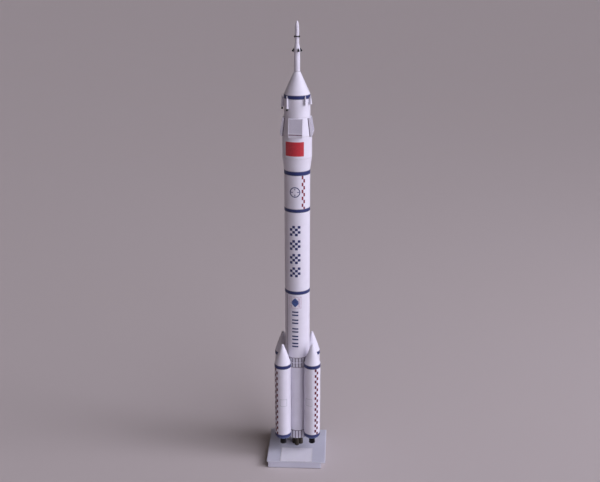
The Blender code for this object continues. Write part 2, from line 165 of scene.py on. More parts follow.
class Look:
    """A Principled material whose colour, roughness and bump come from noise in the object's own space."""

    def __init__(self, name, roughness=0.55, specular=0.4, sheen=0.0):
        self.material = bpy.data.materials.new(name)
        self.material.use_nodes = True
        self.tree = self.material.node_tree
        self.shader = self.tree.nodes["Principled BSDF"]
        inputs = {"Roughness": roughness, "Specular IOR Level": specular, "Sheen Weight": sheen}
        self.feed(self.shader, inputs)
        self.place = self.node("ShaderNodeTexCoord", {}).outputs["Object"]

    def feed(self, node, inputs):
        """Set a node's inputs, each to a value or to another node's output."""
        for key, value in inputs.items():
            if isinstance(value, bpy.types.NodeSocket):
                self.tree.links.new(value, node.inputs[key])
            else:
                node.inputs[key].default_value = value

    def node(self, kind, inputs, **settings):
        """A new node with its settings and inputs."""
        made = self.tree.nodes.new(kind)
        for name, value in settings.items():
            setattr(made, name, value)
        self.feed(made, inputs)
        return made

    def noise(self, size, detail=3.0, stretch=(1.0, 1.0, 1.0)):
        """Noise whose features measure about size metres, stretched along the axes."""
        scale = [1.0 / (size * part) for part in stretch]
        mapping = self.node("ShaderNodeMapping", {"Vector": self.place, "Scale": scale})
        inputs = {"Vector": mapping.outputs["Vector"], "Scale": 1.0, "Detail": detail}
        return self.node("ShaderNodeTexNoise", inputs).outputs["Fac"]

    def spread(self, value, lowest, highest, start=0.3, end=0.7):
        """Stretch start..end of a value over lowest..highest."""
        inputs = {"Value": value, "From Min": start, "From Max": end, "To Min": lowest, "To Max": highest}
        return self.node("ShaderNodeMapRange", inputs).outputs["Result"]

    def worn(self, noise, least, most):
        """The wear painted on the mesh, broken up by noise."""
        painted = self.node("ShaderNodeAttribute", {}, attribute_name="wear").outputs["Fac"]
        return self.math("MULTIPLY", painted, self.spread(noise, least, most))

    def math(self, operation, first, second):
        """Two values joined by an operation."""
        return self.node("ShaderNodeMath", {0: first, 1: second}, operation=operation).outputs["Value"]

    def mix(self, share, first, second):
        """A colour between two, each a name in COLOURS or a socket."""
        first, second = ((*COLOURS[colour], 1.0) if isinstance(colour, str) else colour
                         for colour in (first, second))
        return self.node("ShaderNodeMix", {0: share, 6: first, 7: second}, data_type="RGBA").outputs[2]

    def bump(self, height, depth, under=None):
        """A bump of the given depth in metres, over another bump if there is one."""
        inputs = {"Strength": 1.0, "Distance": depth, "Height": height}
        if under is not None:
            inputs["Normal"] = under
        return self.node("ShaderNodeBump", inputs).outputs["Normal"]

    def card_surface(self, depth):
        """The card's fibres, and their bump over its slow ripple."""
        fibres = self.noise(FIBRE, detail=4.0, stretch=FIBRE_STRETCH)
        ripple = self.bump(self.noise(RIPPLE, detail=1.0), RIPPLE_DEPTH)
        return fibres, self.bump(fibres, depth, ripple)

    def finish(self, colour, roughness, normal):
        """Join the made colour, roughness and normal to the shader."""
        self.feed(self.shader, {"Base Color": colour, "Roughness": roughness, "Normal": normal})
        return self.material


def card_look(name, colour, shade, gloss=(0.46, 0.62)):
    """Satin printed card: cloudy tint, paper fibres, greyed cut edges."""
    look = Look(name, specular=0.38, sheen=0.06)
    fibres, normal = look.card_surface(0.006 * MM)
    clouds = look.noise(14.0 * MM, detail=2.0)
    tint = look.math("MULTIPLY", look.spread(clouds, 0.0, 1.0), look.spread(fibres, 0.35, 1.0))
    worn = look.worn(look.noise(1.2 * MM), 0.15, 0.95)
    colour = look.mix(worn, look.mix(tint, colour, shade), "card_edge")
    return look.finish(colour, look.spread(fibres, *gloss), normal)


def ink_look(name, colour, shade, gloss=(0.34, 0.50), specular=0.45):
    """Ink on card: slightly mottled, with the card's fibres under it."""
    look = Look(name, specular=specular)
    fibres, normal = look.card_surface(0.005 * MM)
    body = look.mix(look.spread(look.noise(2.5 * MM), 0.0, 1.0), colour, shade)
    colour = look.mix(look.worn(look.noise(0.8 * MM), 0.0, 0.45), body, "card_edge")
    return look.finish(colour, look.spread(fibres, *gloss), normal)


def board_look(name, colour, shade):
    """Matte board of the base: denser fibres, specks, scuffed edges."""
    look = Look(name, specular=0.3, sheen=0.05)
    fibres = look.noise(0.55 * MM, detail=5.0, stretch=(2.5, 1.0, 1.0))
    clouds = look.noise(26.0 * MM)
    specks = look.noise(0.7 * MM, detail=1.0)
    tint = look.math("ADD", look.spread(clouds, 0.0, 0.55), look.spread(specks, 0.0, 0.45, 0.55, 0.75))
    colour = look.mix(look.worn(look.noise(1.6 * MM), 0.1, 0.8), look.mix(tint, colour, shade), "card_edge")
    normal = look.bump(fibres, 0.012 * MM, look.bump(clouds, 0.10 * MM))
    return look.finish(colour, look.spread(fibres, 0.56, 0.72), normal)


def paint_look(name, colour, shade, gloss, specular):
    """Paint on a bell nozzle: brush streaks round it, rubbed lips."""
    look = Look(name, specular=specular)
    streaks = look.noise(0.5 * MM, stretch=(6.0, 6.0, 0.5))
    patches = look.noise(2.2 * MM)
    body = look.mix(look.spread(patches, 0.0, 0.7), colour, shade)
    colour = look.mix(look.worn(patches, 0.1, 0.8), body, "grey_wear")
    return look.finish(colour, look.spread(streaks, *gloss), look.bump(streaks, 0.012 * MM))


LOOKS = {
    "card": card_look("white_card_satin", "card", "card_shade"),
    "label": card_look("label_card", "label", "card", gloss=(0.42, 0.55)),
    "board": board_look("base_board", "board", "board_shade"),
    "navy": ink_look("navy_print", "navy", "navy"),
    "navy_light": ink_look("skirt_blue_print", "navy_light", "navy_light"),
    "red": ink_look("red_print", "red", "red_shade", (0.28, 0.42), 0.7),
    "check": ink_look("maroon_print", "check", "check_shade"),
    "bay_check": ink_look("dark_red_print", "bay_check", "check"),
    "blue": ink_look("blue_print", "blue", "navy_light"),
    "pink": ink_look("pale_pink_print", "pink", "card_shade"),
    "lattice": ink_look("lattice_print", "lattice", "dark_line"),
    "line": ink_look("grey_line_print", "line", "line"),
    # Dark ink for the raceway, also used as painted shade on the fins' cheek roots and the base's foot
    "dark_line": ink_look("dark_print_and_painted_shade", "dark_line", "lattice"),
    "fin": card_look("grid_card", "fin", "fin_back"),
    "fin_back": card_look("grid_shadow_card", "fin_back", "fin"),
    "fin_foot": ink_look("fin_foot_print", "fin_foot", "dark_line"),
    "brown": paint_look("olive_brown_paint", "brown", "brown_light", (0.38, 0.60), 0.35),
    "black": paint_look("black_paint", "black", "black", (0.10, 0.20), 0.22),
}


# Shapes

def on_rocket(angle, radius, height, centre=AXIS):
    """A point at an angle from the camera's side round an upright axis."""
    turn = math.radians(angle + TURN)
    return Vector((centre.x + radius * math.sin(turn), centre.y - radius * math.cos(turn), height))


def add_object(name, data):
    """A new object in the scene."""
    item = bpy.data.objects.new(name, data)
    bpy.context.scene.collection.objects.link(item)
    return item


def spun(degrees, axis="Z"):
    """A turn about an axis."""
    return Matrix.Rotation(math.radians(degrees), 4, axis)


def make_piece(name, points, faces, looks, face_looks=None, wear=None, sharp=32.0):
    """A new object from points and faces, each face with one of the looks."""
    mesh = bpy.data.meshes.new(name)
    mesh.from_pydata([tuple(point) for point in points], [], faces)
    for look in looks:
        mesh.materials.append(LOOKS[look])
    if face_looks is not None:
        mesh.polygons.foreach_set("material_index", face_looks)
    painted = mesh.attributes.new("wear", "FLOAT", "POINT")
    if wear is not None:
        painted.data.foreach_set("value", np.asarray(wear, dtype=np.float32))
    mesh.shade_smooth()
    mesh.set_sharp_from_angle(angle=math.radians(sharp))
    mesh.update()
    return add_object(name, mesh)


def settle(piece, slot, *nodes):
    """Fix a finished piece to the model and hide the nodes it stands for; the slot is not used."""
    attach(piece, "root")
    if nodes:
        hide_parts(*nodes)


def joined(first, second, count):
    """Faces between two closed loops of points, each given by the number of its first point."""
    return [(first + index, first + (index + 1) % count, second + (index + 1) % count, second + index)
            for index in range(count)]


def rows_from(height, radius, table):
    """Rows of a profile from a table of rise over a height, reach past a radius, both in mm, and wear."""
    return [(height + rise * MM, radius + reach * MM, worn) for rise, reach, worn in table]


def dome(foot, height, radius, steps, worn, first=0):
    """Rows of a rounded tip."""
    turns = [math.radians(QUARTER_TURN * step / steps) for step in range(first, steps + 1)]
    return [(foot + height * math.sin(turn), radius * math.cos(turn), worn) for turn in turns]


def bell_row(share, foot, top, mouth, throat, worn=0.0):
    """Row of a bell at a share of its depth under its top."""
    return top - (top - foot) * share, throat + (mouth - throat) * math.sin(share * math.pi / 2), worn


def ring_of_angles(segments, cuts):
    """Even angles round a tube, with exact cuts put in and even ones close to a cut left out."""
    wanted = sorted(cut % FULL_TURN for cut in cuts)
    even = [index * FULL_TURN / segments for index in range(segments)]
    kept = [angle for angle in even if all(abs(angle - cut) > NEAR_CUT for cut in wanted)]
    return sorted(kept + wanted)


def between(angle, centre):
    """Signed difference of two angles in degrees, from -180 to 180."""
    return (angle - centre + 180.0) % FULL_TURN - 180.0


def sleeve_rows(z_low, z_high, r_low, r_high=None, levels=()):
    """Rows (height, radius, wear) of a rolled card sleeve with small rounded, worn ends."""
    r_high = r_low if r_high is None else r_high
    rounding = LIP * LIP_SHARE

    def row(height, worn):
        return height, r_low + (r_high - r_low) * (height - z_low) / (z_high - z_low), worn

    inner = [level for level in sorted(levels) if z_low + WEAR_REACH < level < z_high - WEAR_REACH]
    return [(z_low, r_low - LIP, 1.0), (z_low + rounding, r_low - rounding, 1.0),
            row(z_low + LIP, 0.8), row(z_low + WEAR_REACH, 0.0),
            *[row(level, 0.0) for level in inner],
            row(z_high - WEAR_REACH, 0.0), row(z_high - LIP, 0.8),
            (z_high - rounding, r_high - rounding, 1.0), (z_high, r_high - LIP, 1.0)]


def lap_rise(angle):
    """How far the overlapping card stands out at an angle."""
    back = between(angle, LAP_ANGLE)
    if -LAP_WIDTH <= back < 0.0:
        return LAP_STEP * min(1.0, (1.0 + back / LAP_WIDTH) / LAP_RISE)
    return 0.0


def turned(name, rows, looks, slot, *nodes, centre=AXIS, segments=SEGMENTS, cuts=(), paint=None, lap=False):
    """A turned piece; paint(angle, height) gives the index of a face's look."""
    if lap:
        start = LAP_ANGLE - LAP_WIDTH
        cuts = [*cuts, LAP_ANGLE - LAP_DROP, LAP_ANGLE, start, start + LAP_WIDTH * LAP_RISE]
    angles = ring_of_angles(segments, cuts)
    count = len(angles)
    points, faces, indices, wear = [], [], [], []
    for height, radius, worn in rows:
        for angle in angles:
            rise = lap_rise(angle) if lap else 0.0
            points.append(on_rocket(angle, radius + rise, height, centre))
            wear.append(1.0 if rise and abs(between(angle, LAP_ANGLE)) < LAP_WORN else worn)
    for row in range(len(rows) - 1):
        height = (rows[row][0] + rows[row + 1][0]) / 2
        faces += joined(row * count, (row + 1) * count, count)
        for index in range(count):
            step = (angles[(index + 1) % count] - angles[index]) % FULL_TURN
            indices.append(paint(angles[index] + step / 2, height) if paint else 0)
    for row, order in ((0, -1), (len(rows) - 1, 1)):
        if rows[row][1] >= TINY:
            faces.append(tuple(range(row * count, (row + 1) * count))[::order])
            indices.append(0)
    settle(make_piece(name, points, faces, looks, indices, wear), slot, *nodes)


def slab_faces(first, columns, rows):
    """Faces of a thin slab: two grids of points, the outer one first, joined along their border."""
    wide = columns + 1
    layer = wide * (rows + 1)
    faces = []
    for row in range(rows):
        for column in range(columns):
            a = first + row * wide + column
            faces.append((a, a + 1, a + wide + 1, a + wide))
            faces.append((a + layer + wide, a + layer + wide + 1, a + layer + 1, a + layer))
    border = (list(range(columns)) + [row * wide + columns for row in range(rows)]
              + [rows * wide + column for column in range(columns, 0, -1)]
              + [row * wide for row in range(rows, 0, -1)])
    for spot, after in zip(border, border[1:] + border[:1]):
        a, b = first + spot, first + after
        faces.append((b, a, a + layer, b + layer))
    return faces


def wrapped_patches(name, look, shapes, slot, radius=CORE_RADIUS, centre=AXIS):
    """Printed patches on a tube as thin closed slabs.

    Each shape is a middle (angle, height) and four corners (arc, height) counted from it.
    """
    points, faces = [], []
    for (angle, height), corners in shapes:
        lower_left, lower_right, upper_right, upper_left = (Vector(corner) for corner in corners)
        across = max(abs(lower_right.x - lower_left.x), abs(upper_right.x - upper_left.x))
        slant = max(abs(upper_left.x - lower_left.x), abs(upper_right.x - lower_right.x))
        columns = max(1, math.ceil(math.degrees(across / radius) / PATCH_STEP))
        rows = max(1, math.ceil(math.degrees(slant / radius) / PATCH_STEP))
        faces += slab_faces(len(points), columns, rows)
        for lift in (INK, -INK_ROOT):
            for row in range(rows + 1):
                for column in range(columns + 1):
                    lower = lower_left.lerp(lower_right, column / columns)
                    spot = lower.lerp(upper_left.lerp(upper_right, column / columns), row / rows)
                    place = angle + math.degrees(spot.x / radius)
                    points.append(on_rocket(place, radius + lift, height + spot.y, centre))
    settle(make_piece(name, points, faces, [look], sharp=PRINT_SHARP), slot)


def rectangle(width, height, x=0.0, y=0.0):
    """Corners of a rectangle about (x, y)."""
    return [(x - width / 2, y - height / 2), (x + width / 2, y - height / 2),
            (x + width / 2, y + height / 2), (x - width / 2, y + height / 2)]


def rectangle_edges(width, height, line):
    """Four thin rectangles along the inside of a rectangle's edges."""
    level = [rectangle(width, line, 0.0, side * (height - line) / 2) for side in (-1, 1)]
    return level + [rectangle(line, height - 2 * line, side * (width - line) / 2, 0.0) for side in (-1, 1)]


BOX_FACES = [(0, 2, 3, 1), (4, 5, 7, 6), (0, 1, 5, 4), (1, 3, 7, 5), (3, 2, 6, 7), (2, 0, 4, 6)]


def boxes(name, looks, items, slot):
    """One mesh of many small boxes; each item is a size, a matrix and the index of its look."""
    points, faces, indices = [], [], []
    for (width, depth, height), place, look in items:
        first = len(points)
        points += [place @ Vector((x * width / 2, y * depth / 2, z * height / 2))
                   for z in (-1, 1) for y in (-1, 1) for x in (-1, 1)]
        faces += [tuple(first + index for index in face) for face in BOX_FACES]
        indices += [look] * len(BOX_FACES)
    settle(make_piece(name, points, faces, looks, indices, sharp=PRINT_SHARP), slot)


# Base

LIFT_LEFT = 0.35 * MM  # the warped block stands this far off at its left
LIFT_RIGHT = 0.90 * MM
WARP_TOP = 3.2 * MM  # the block is level above this
BLOCK_LIP = 0.5 * MM
BLOCK_CUT = 0.12 * MM  # bevel of the block's lower edge
BLOCK_GAP = 0.1 * MM  # dark line under the card top
FOOT_INSET = 1.6 * MM
FOOT_ABOVE_LIFT = 0.3 * MM
TOP_ROUND = 0.8 * MM  # rounding of the card top's upper edge
TOP_CUT = 0.15 * MM  # bevel of its lower edge
TOP_FLAT = 2.2 * MM  # where its flat face begins
ROUND_STEPS = 4
BOARD_CORNER = 0.6 * MM
BOARD_BOW = 0.14 * MM
LABEL = dict(above=0.02 * MM, thick=0.28 * MM, curl=0.25 * MM, columns=24, rows=20, worn=0.06)


def rounded_loop(half_x, half_y, corner, bow, steps=4, sides=8):
    """Points round a rectangle with rounded corners and bowed sides.

    They run counterclockwise from its front right corner.
    """
    loop = []
    for quarter in range(4):
        diagonal = math.radians(QUARTER_TURN * (quarter - 0.5))
        centre = Vector((math.copysign(half_x - corner, math.cos(diagonal)),
                         math.copysign(half_y - corner, math.sin(diagonal))))
        for step in range(steps + 1):
            turn = math.radians(QUARTER_TURN * (quarter - 1 + step / steps))
            outward = Vector((math.cos(turn), math.sin(turn)))
            loop.append(centre + corner * outward)
        along = Vector((-outward.y, outward.x))
        length = 2 * ((half_x if quarter % 2 else half_y) - corner)
        last = loop[-1]
        for step in range(1, sides):
            share = step / sides
            loop.append(last + along * length * share - outward * bow * math.sin(math.pi * share))
    return loop


def board(name, node, rows):
    """A board in a node's box; each row is an inset, its heights at the left and right, and its wear."""
    lowest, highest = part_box(node)
    centre, half = (lowest + highest) / 2, (highest - lowest) / 2
    points, wear, faces = [], [], []
    for inset, left, right, worn in rows:
        for spot in rounded_loop(half.x - inset, half.y - inset, BOARD_CORNER, BOARD_BOW):
            share = (spot.x + half.x) / (2 * half.x)
            points.append(Vector((centre.x + spot.x, centre.y + spot.y, left + (right - left) * share)))
            wear.append(worn)
    count = len(points) // len(rows)
    for row in range(len(rows) - 1):
        faces += joined(row * count, (row + 1) * count, count)
    faces.append(tuple(reversed(range(count))))
    faces.append(tuple(range((len(rows) - 1) * count, len(rows) * count)))
    settle(make_piece(name, points, faces, ["board"], wear=wear), "base_card", node)


def make_base():
    """The base: a card top with a rounded edge on a slightly warped block, over a foot set in from it whose
    dark colour is painted shade under the block.
    """
    under, top = low("base_top"), high("base_top")
    rows = [(TOP_ROUND, under, under, 0.0), (TOP_CUT, under, under, 0.6),
            (0.0, under + TOP_CUT, under + TOP_CUT, 1.0)]
    for step in range(ROUND_STEPS + 1):
        turn = math.radians(QUARTER_TURN * step / ROUND_STEPS)
        height = top - TOP_ROUND * (1 - math.sin(turn))
        rows.append((TOP_ROUND * (1 - math.cos(turn)), height, height, 0.7 * (1 - step / ROUND_STEPS)))
    rows.append((TOP_FLAT, top, top, 0.0))
    board("base_top_card", "base_top", rows)
    left, right = LIFT_LEFT, LIFT_RIGHT
    board("base_block", "base_plinth", [
        (BLOCK_LIP, left, right, 0.6), (BLOCK_CUT, left + BLOCK_CUT, right + BLOCK_CUT, 1.0),
        (0.0, left + BLOCK_LIP, right + BLOCK_LIP, 0.4), (0.0, WARP_TOP, WARP_TOP, 0.0),
        (0.0, under - BLOCK_GAP, under - BLOCK_GAP, 0.0), (BLOCK_LIP, under, under, 0.0)])
    # The foot holds up the lifted block; its dark colour is painted shade for the shadow line under the base
    lowest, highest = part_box("base_plinth")
    size = (highest.x - lowest.x - 2 * FOOT_INSET, highest.y - lowest.y - 2 * FOOT_INSET,
            LIFT_RIGHT + FOOT_ABOVE_LIFT)
    place = Matrix.Translation((middle("base_plinth").x, middle("base_plinth").y, size[2] / 2))
    boxes("base_shadow_foot", ["dark_line"], [(size, place, 0)], "base_card")


def make_label():
    """The blank card plate on the base, its corners curled up a little."""
    lowest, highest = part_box("label_plate")
    centre, half = (lowest + highest) / 2, (highest - lowest) / 2
    foot = high("base_top") + LABEL["above"]
    columns, rows = LABEL["columns"], LABEL["rows"]
    points, wear = [], []
    for rise in (LABEL["thick"], 0.0):
        for row in range(rows + 1):
            for column in range(columns + 1):
                u, v = column / columns * 2 - 1, row / rows * 2 - 1
                lift = LABEL["curl"] * abs(u) ** 6 * (0.4 + 0.6 * abs(v) ** 3)
                points.append(Vector((centre.x + u * half.x, centre.y + v * half.y, foot + lift + rise)))
                wear.append(max(0.0, 1.0 - (1.0 - max(abs(u), abs(v))) / LABEL["worn"]))
    plate = make_piece("label_blank_card", points, slab_faces(0, columns, rows), ["label"], wear=wear)
    settle(plate, "label", "label_plate")


# Core

CONE_LIP = 0.35 * MM  # the cone's top stands this far out round the tower
BELL_STEPS = 8
# Core bells: throat and wall, and how deep and how closed the hollow is, as shares
CORE_BELL = dict(throat=2.0 * MM, wall=0.4 * MM, deep=0.62, closing=0.75)
BELL_RINGS = (0.28, 0.53, 0.78)  # shares of a core bell's depth
BELL_RING_ROWS = ((-0.25, 0.01, 0.0), (-0.15, 0.10, 0.4), (0.15, 0.10, 0.4), (0.25, 0.0, 0.0))


def checks_on(angle, stripe, radius, z_top, z_low):
    """Cuts, levels and paint of a checked stripe two columns wide, counted down from its top."""
    width = math.degrees(stripe["column"] / radius)
    check = stripe["check"]
    count = int((z_top - z_low) / check) + 1
    levels = [z_top - index * check for index in range(1, count + 1)]

    def paint(where, height):
        side = between(where, angle)
        if abs(side) >= width or height > z_top or height < z_low:
            return 0
        row = int((z_top - height) / check)
        return 1 if (row + (side > 0)) % 2 == 0 else 0

    return [angle - width, angle, angle + width], levels, paint


def make_lattice(node, name, top, with_middle):
    """A sleeve printed with upright bars and a dark upper edge.

    with_middle adds rungs, a dark lower edge and a light line half way.
    """
    foot = low(node)
    height = top - foot
    pitch = FULL_TURN / LATTICE["bars"]
    dark, thin = LATTICE["dark"] * pitch, LATTICE["thin"] * pitch
    edge, light, rung = LATTICE["edge"], LATTICE["light"], LATTICE["rung"]
    half = foot + height / 2
    rungs = [foot + height * share for share in RUNGS]
    levels = [foot + edge, top - edge, half - light / 2, half + light / 2]
    levels += [level + side * rung for level in rungs for side in (-1, 1)]
    cuts = []
    for index in range(LATTICE["bars"]):
        start = CORE_TURN + index * pitch
        for bar, width in ((start, dark), (start + pitch / 2, thin)):
            cuts += [bar - width / 2, bar + width / 2]

    def paint(where, z):
        side = (where - CORE_TURN) % pitch
        side = min(side, pitch - side)
        if with_middle and abs(z - half) < light / 2:
            return 0
        if z > top - edge or (with_middle and z < foot + edge):
            return 1
        if side < dark / 2:
            return 1
        if abs(side - pitch / 2) < thin / 2:
            return 2
        return 2 if with_middle and any(abs(z - level) < rung for level in rungs) else 0

    rows = sleeve_rows(foot, top, CORE_RADIUS, levels=levels)
    turned(name, rows, ["card", "lattice", "line"], "corrugated", node, segments=LATTICE_SEGMENTS,
           cuts=cuts, paint=paint)


def make_core():
    """The core's sleeves, bands and fairing sections, listed from the tail up."""
    order = ["core_tail_skirt", "core_lower_tank", "core_intertank", "core_upper_tank", "stage_band_lower",
             "second_stage_tank", "stage_band_middle", "instrument_bay", "stage_band_upper",
             "fairing_boat_tail", "fairing_cylinder", "fairing_fin_section", "fairing_upper_cylinder",
             "fairing_band", "fairing_cone"]
    tops = {node: low(after) - JOINT_LINE for node, after in zip(order, order[1:])}
    tops["fairing_cone"] = high("fairing_cone")

    def sleeve(node, ending, look, slot, foot_radius, top_radius=None):
        rows = sleeve_rows(low(node), tops[node], foot_radius, top_radius)
        turned(node + ending, rows, [look], slot, node, lap=True)

    for node in order:
        if node.endswith(("_tank", "_cylinder")):
            sleeve(node, "_sleeve", "card", "white_card", radius_of(node))
    make_lattice("core_tail_skirt", "tail_skirt_sleeve", tops["core_tail_skirt"], False)
    make_lattice("core_intertank", "intertank_sleeve", tops["core_intertank"], True)
    for node in order:
        if "_band" in node:
            sleeve(node, "_wrap", "navy", "navy", radius_of(node))
    node = "instrument_bay"
    cuts, levels, paint = checks_on(BAY_STRIPE["angle"], BAY_STRIPE, CORE_RADIUS, tops[node], low(node))
    rows = sleeve_rows(low(node), tops[node], CORE_RADIUS, levels=levels)
    turned(node + "_sleeve", rows, ["card", "bay_check"], "white_card", node, cuts=cuts, paint=paint,
           lap=True)
    for node, foot_radius, top_radius in (("fairing_boat_tail", CORE_RADIUS, FAIRING_RADIUS),
                                          ("fairing_fin_section", FAIRING_RADIUS, CREW_RADIUS),
                                          ("fairing_cone", CREW_RADIUS, TOWER_RADIUS + CONE_LIP)):
        sleeve(node, "_cone", "card", "white_card", foot_radius, top_radius)


def make_core_nozzles():
    """Four olive-brown bells under the core, hollow at the mouth."""
    wall, deep, closing = CORE_BELL["wall"], CORE_BELL["deep"], CORE_BELL["closing"]
    for index in range(1, 5):
        node = f"core_nozzle_{index}"
        foot, top, mouth = low(node), high(node), radius_of(node)
        bell = (foot, top, mouth, CORE_BELL["throat"])
        rows = [bell_row(1.0, *bell, worn=1.0)]
        rows += [bell_row(1.0 - step / BELL_STEPS, *bell) for step in range(1, BELL_STEPS + 1)]
        for share in BELL_RINGS:
            rows += rows_from(*bell_row(share, *bell)[:2], BELL_RING_ROWS)
        hollow = []
        for share in (0.9, 0.5, 0.15, 0.0):
            radius = max(wall, (mouth - wall) * (1.0 - closing * share))
            hollow.append((foot + (top - foot) * deep * share, radius, 0.0))
        turned(f"core_bell_{index}", hollow + sorted(rows), ["brown"], "nozzle_brown", node,
               centre=middle(node), segments=SMALL_SEGMENTS)


def make_ring():
    """The flat ring printed on the instrument bay, as a thin closed slab."""
    inner, outer, steps = RING["inner"], RING["outer"], RING["steps"]
    points, faces = [], []
    loops = ((outer, INK), (inner, INK), (inner, -INK_ROOT), (outer, -INK_ROOT))
    for loop, (reach, lift) in enumerate(loops):
        faces += joined(loop * steps, (loop + 1) % len(loops) * steps, steps)
        for step in range(steps):
            turn = 2 * math.pi * step / steps
            place = CORE_TURN + math.degrees(reach * math.cos(turn) / CORE_RADIUS)
            points.append(on_rocket(place, CORE_RADIUS + lift, RING["height"] + reach * math.sin(turn)))
    settle(make_piece("bay_ring_print", points, faces, ["navy"], sharp=PRINT_SHARP), "navy")


def make_marks():
    """The print on the core: red panel, ring, blocks of checks, bars, blue panel and the thin raceway."""
    wide, tall, rim = RED["width"], RED["high"] - RED["low"], RED["border"]
    spot = (RED["angle"], (RED["low"] + RED["high"]) / 2)
    panel = [(spot, rectangle(wide, tall))]
    wrapped_patches("red_panel_print", "red", panel, "white_card", FAIRING_RADIUS)
    edges = [(spot, edge) for edge in rectangle_edges(wide + 2 * rim, tall + 2 * rim, rim)]
    wrapped_patches("red_panel_border", "card", edges, "white_card", FAIRING_RADIUS)

    make_ring()
    reach = RING["inner"] - TICK["inset"]
    ticks = []
    for x, y in ((0, 1), (1, 0), (0, -1), (-1, 0)):
        size = (TICK["wide"], TICK["long"]) if x == 0 else (TICK["long"], TICK["wide"])
        ticks.append(((CORE_TURN, RING["height"]), rectangle(*size, x * reach, y * reach)))
    wrapped_patches("bay_ring_ticks", "navy", ticks, "navy")

    count = BIG_MARKS["checks"]
    wide, tall = BIG_MARKS["width"] / count, BIG_MARKS["tall"] / count
    middle_check = (count - 1) / 2
    checks = []
    for z in BIG_MARKS["heights"]:
        for row in range(count):
            for column in range(row % 2, count, 2):
                x, y = (column - middle_check) * wide, (row - middle_check) * tall
                checks.append(((CORE_TURN, z * MM), rectangle(wide, tall, x, y)))
    wrapped_patches("tank_check_blocks", "navy", checks, "navy")

    wide, tall = SMALL_MARKS["width"], SMALL_MARKS["bar"]
    bars = [((CORE_TURN, z * MM), rectangle(wide, tall, 0.0, side * (tall + SMALL_MARKS["gap"]) / 2))
            for z in SMALL_MARKS["heights"] for side in (-1, 1)]
    wrapped_patches("tank_bar_marks", "navy", bars, "navy")

    side, rim, reach = EMBLEM["side"], EMBLEM["rim"], EMBLEM["reach"]
    spot = (CORE_TURN, EMBLEM["height"])
    edges = rectangle_edges(side, side, rim)
    inset = side / 2 - EMBLEM["inset"]
    edges += [rectangle(EMBLEM["bar"], side - 4 * rim, x * inset, 0.0) for x in (-1, 1)]
    wrapped_patches("blue_panel_border", "pink", [(spot, edge) for edge in edges], "white_card")
    diamond = [(0.0, -reach), (reach, 0.0), (0.0, reach), (-reach, 0.0)]
    wrapped_patches("blue_panel_print", "blue", [(spot, diamond)], "navy")

    foot, top = low("core_upper_tank") + WEAR_REACH, high("core_upper_tank") - WEAR_REACH
    raceway = ((RACEWAY["angle"], (foot + top) / 2), rectangle(RACEWAY["width"], top - foot))
    wrapped_patches("core_raceway", "dark_line", [raceway], "white_card")


# Grid fins

FIN_EDGE = 0.6 * MM  # width of the frame, and how deep the wedge is set into the fairing
FIN_DEPTH = 0.34 * MM  # depth of the frame
FIN_BACK = 0.1 * MM  # thickness of the card behind the grid, and of the strip at the foot
FIN_FACE_GAP = 0.02 * MM  # between the wedge and the face
FIN_SHARP = 15.0  # degrees
GRID_CELLS = 11
GRID_WIDE = 0.26 * MM  # width of a grid bar
GRID_DEEP = 0.22 * MM  # depth of an upright bar
LEVEL_BAR_DEPTH = 0.8  # depth of a level bar as a share of that
UPRIGHT_SET = 0.06 * MM  # how far the upright bars are set in behind the frame's face
LEVEL_SET = 0.12 * MM  # and the level ones
# Painted shadow where each cheek of a fin meets the fairing: strips from inner to outer out from the wedge's
# inner edge, stopping end short of its bottom and top
ROOT_SHADOW_LINE = dict(inner=0.3 * MM, outer=1.9 * MM, end=0.3 * MM)
FOOT_STRIP = dict(inset=0.5 * MM, tall=0.26, above=0.25)  # tall and above: shares of the underside


def fin_plan(node, angle):
    """A fin read from its node: reach and height of its face's foot and top, bottom and half width."""
    outward = on_rocket(angle, 1.0, 0.0, Vector((0.0, 0.0, 0.0)))
    across = on_rocket(angle + QUARTER_TURN, 1.0, 0.0, Vector((0.0, 0.0, 0.0)))
    spots = [v.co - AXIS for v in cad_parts[node].data.vertices]
    flat = [(spot.dot(outward), spot.dot(across), spot.z + AXIS.z) for spot in spots]
    foot = max(flat, key=lambda spot: spot[0])
    top = high(node)
    face_top = max(reach for reach, side, height in flat if height > top - TINY)
    return foot[0], foot[2], face_top, top, low(node), max(side for reach, side, height in flat)


def sloped_place(stand, foot, top):
    """Space of a sloped face from foot to top (reach, height): x across, y up the face, z out of it."""
    slope = Vector((0.0, foot[0] - top[0], top[1] - foot[1]))
    up = slope.normalized()
    local = Matrix(((1.0, 0.0, 0.0, 0.0), (0.0, up.y, -up.z, -(foot[0] + top[0]) / 2),
                    (0.0, up.z, up.y, (foot[1] + top[1]) / 2), (0.0, 0.0, 0.0, 1.0)))
    return stand @ local, slope.length


def fin_prism(name, look, stand, outline, left, right, *nodes):
    """An outline of (reach, height) drawn out sideways, counterclockwise seen from the right."""
    points = [stand @ Vector((x, -reach, z)) for x in (left, right) for reach, z in outline]
    count = len(outline)
    faces = joined(0, count, count) + [tuple(reversed(range(count))), tuple(range(count, 2 * count))]
    settle(make_piece(name, points, faces, [look], sharp=FIN_SHARP), "fin_grey", *nodes)


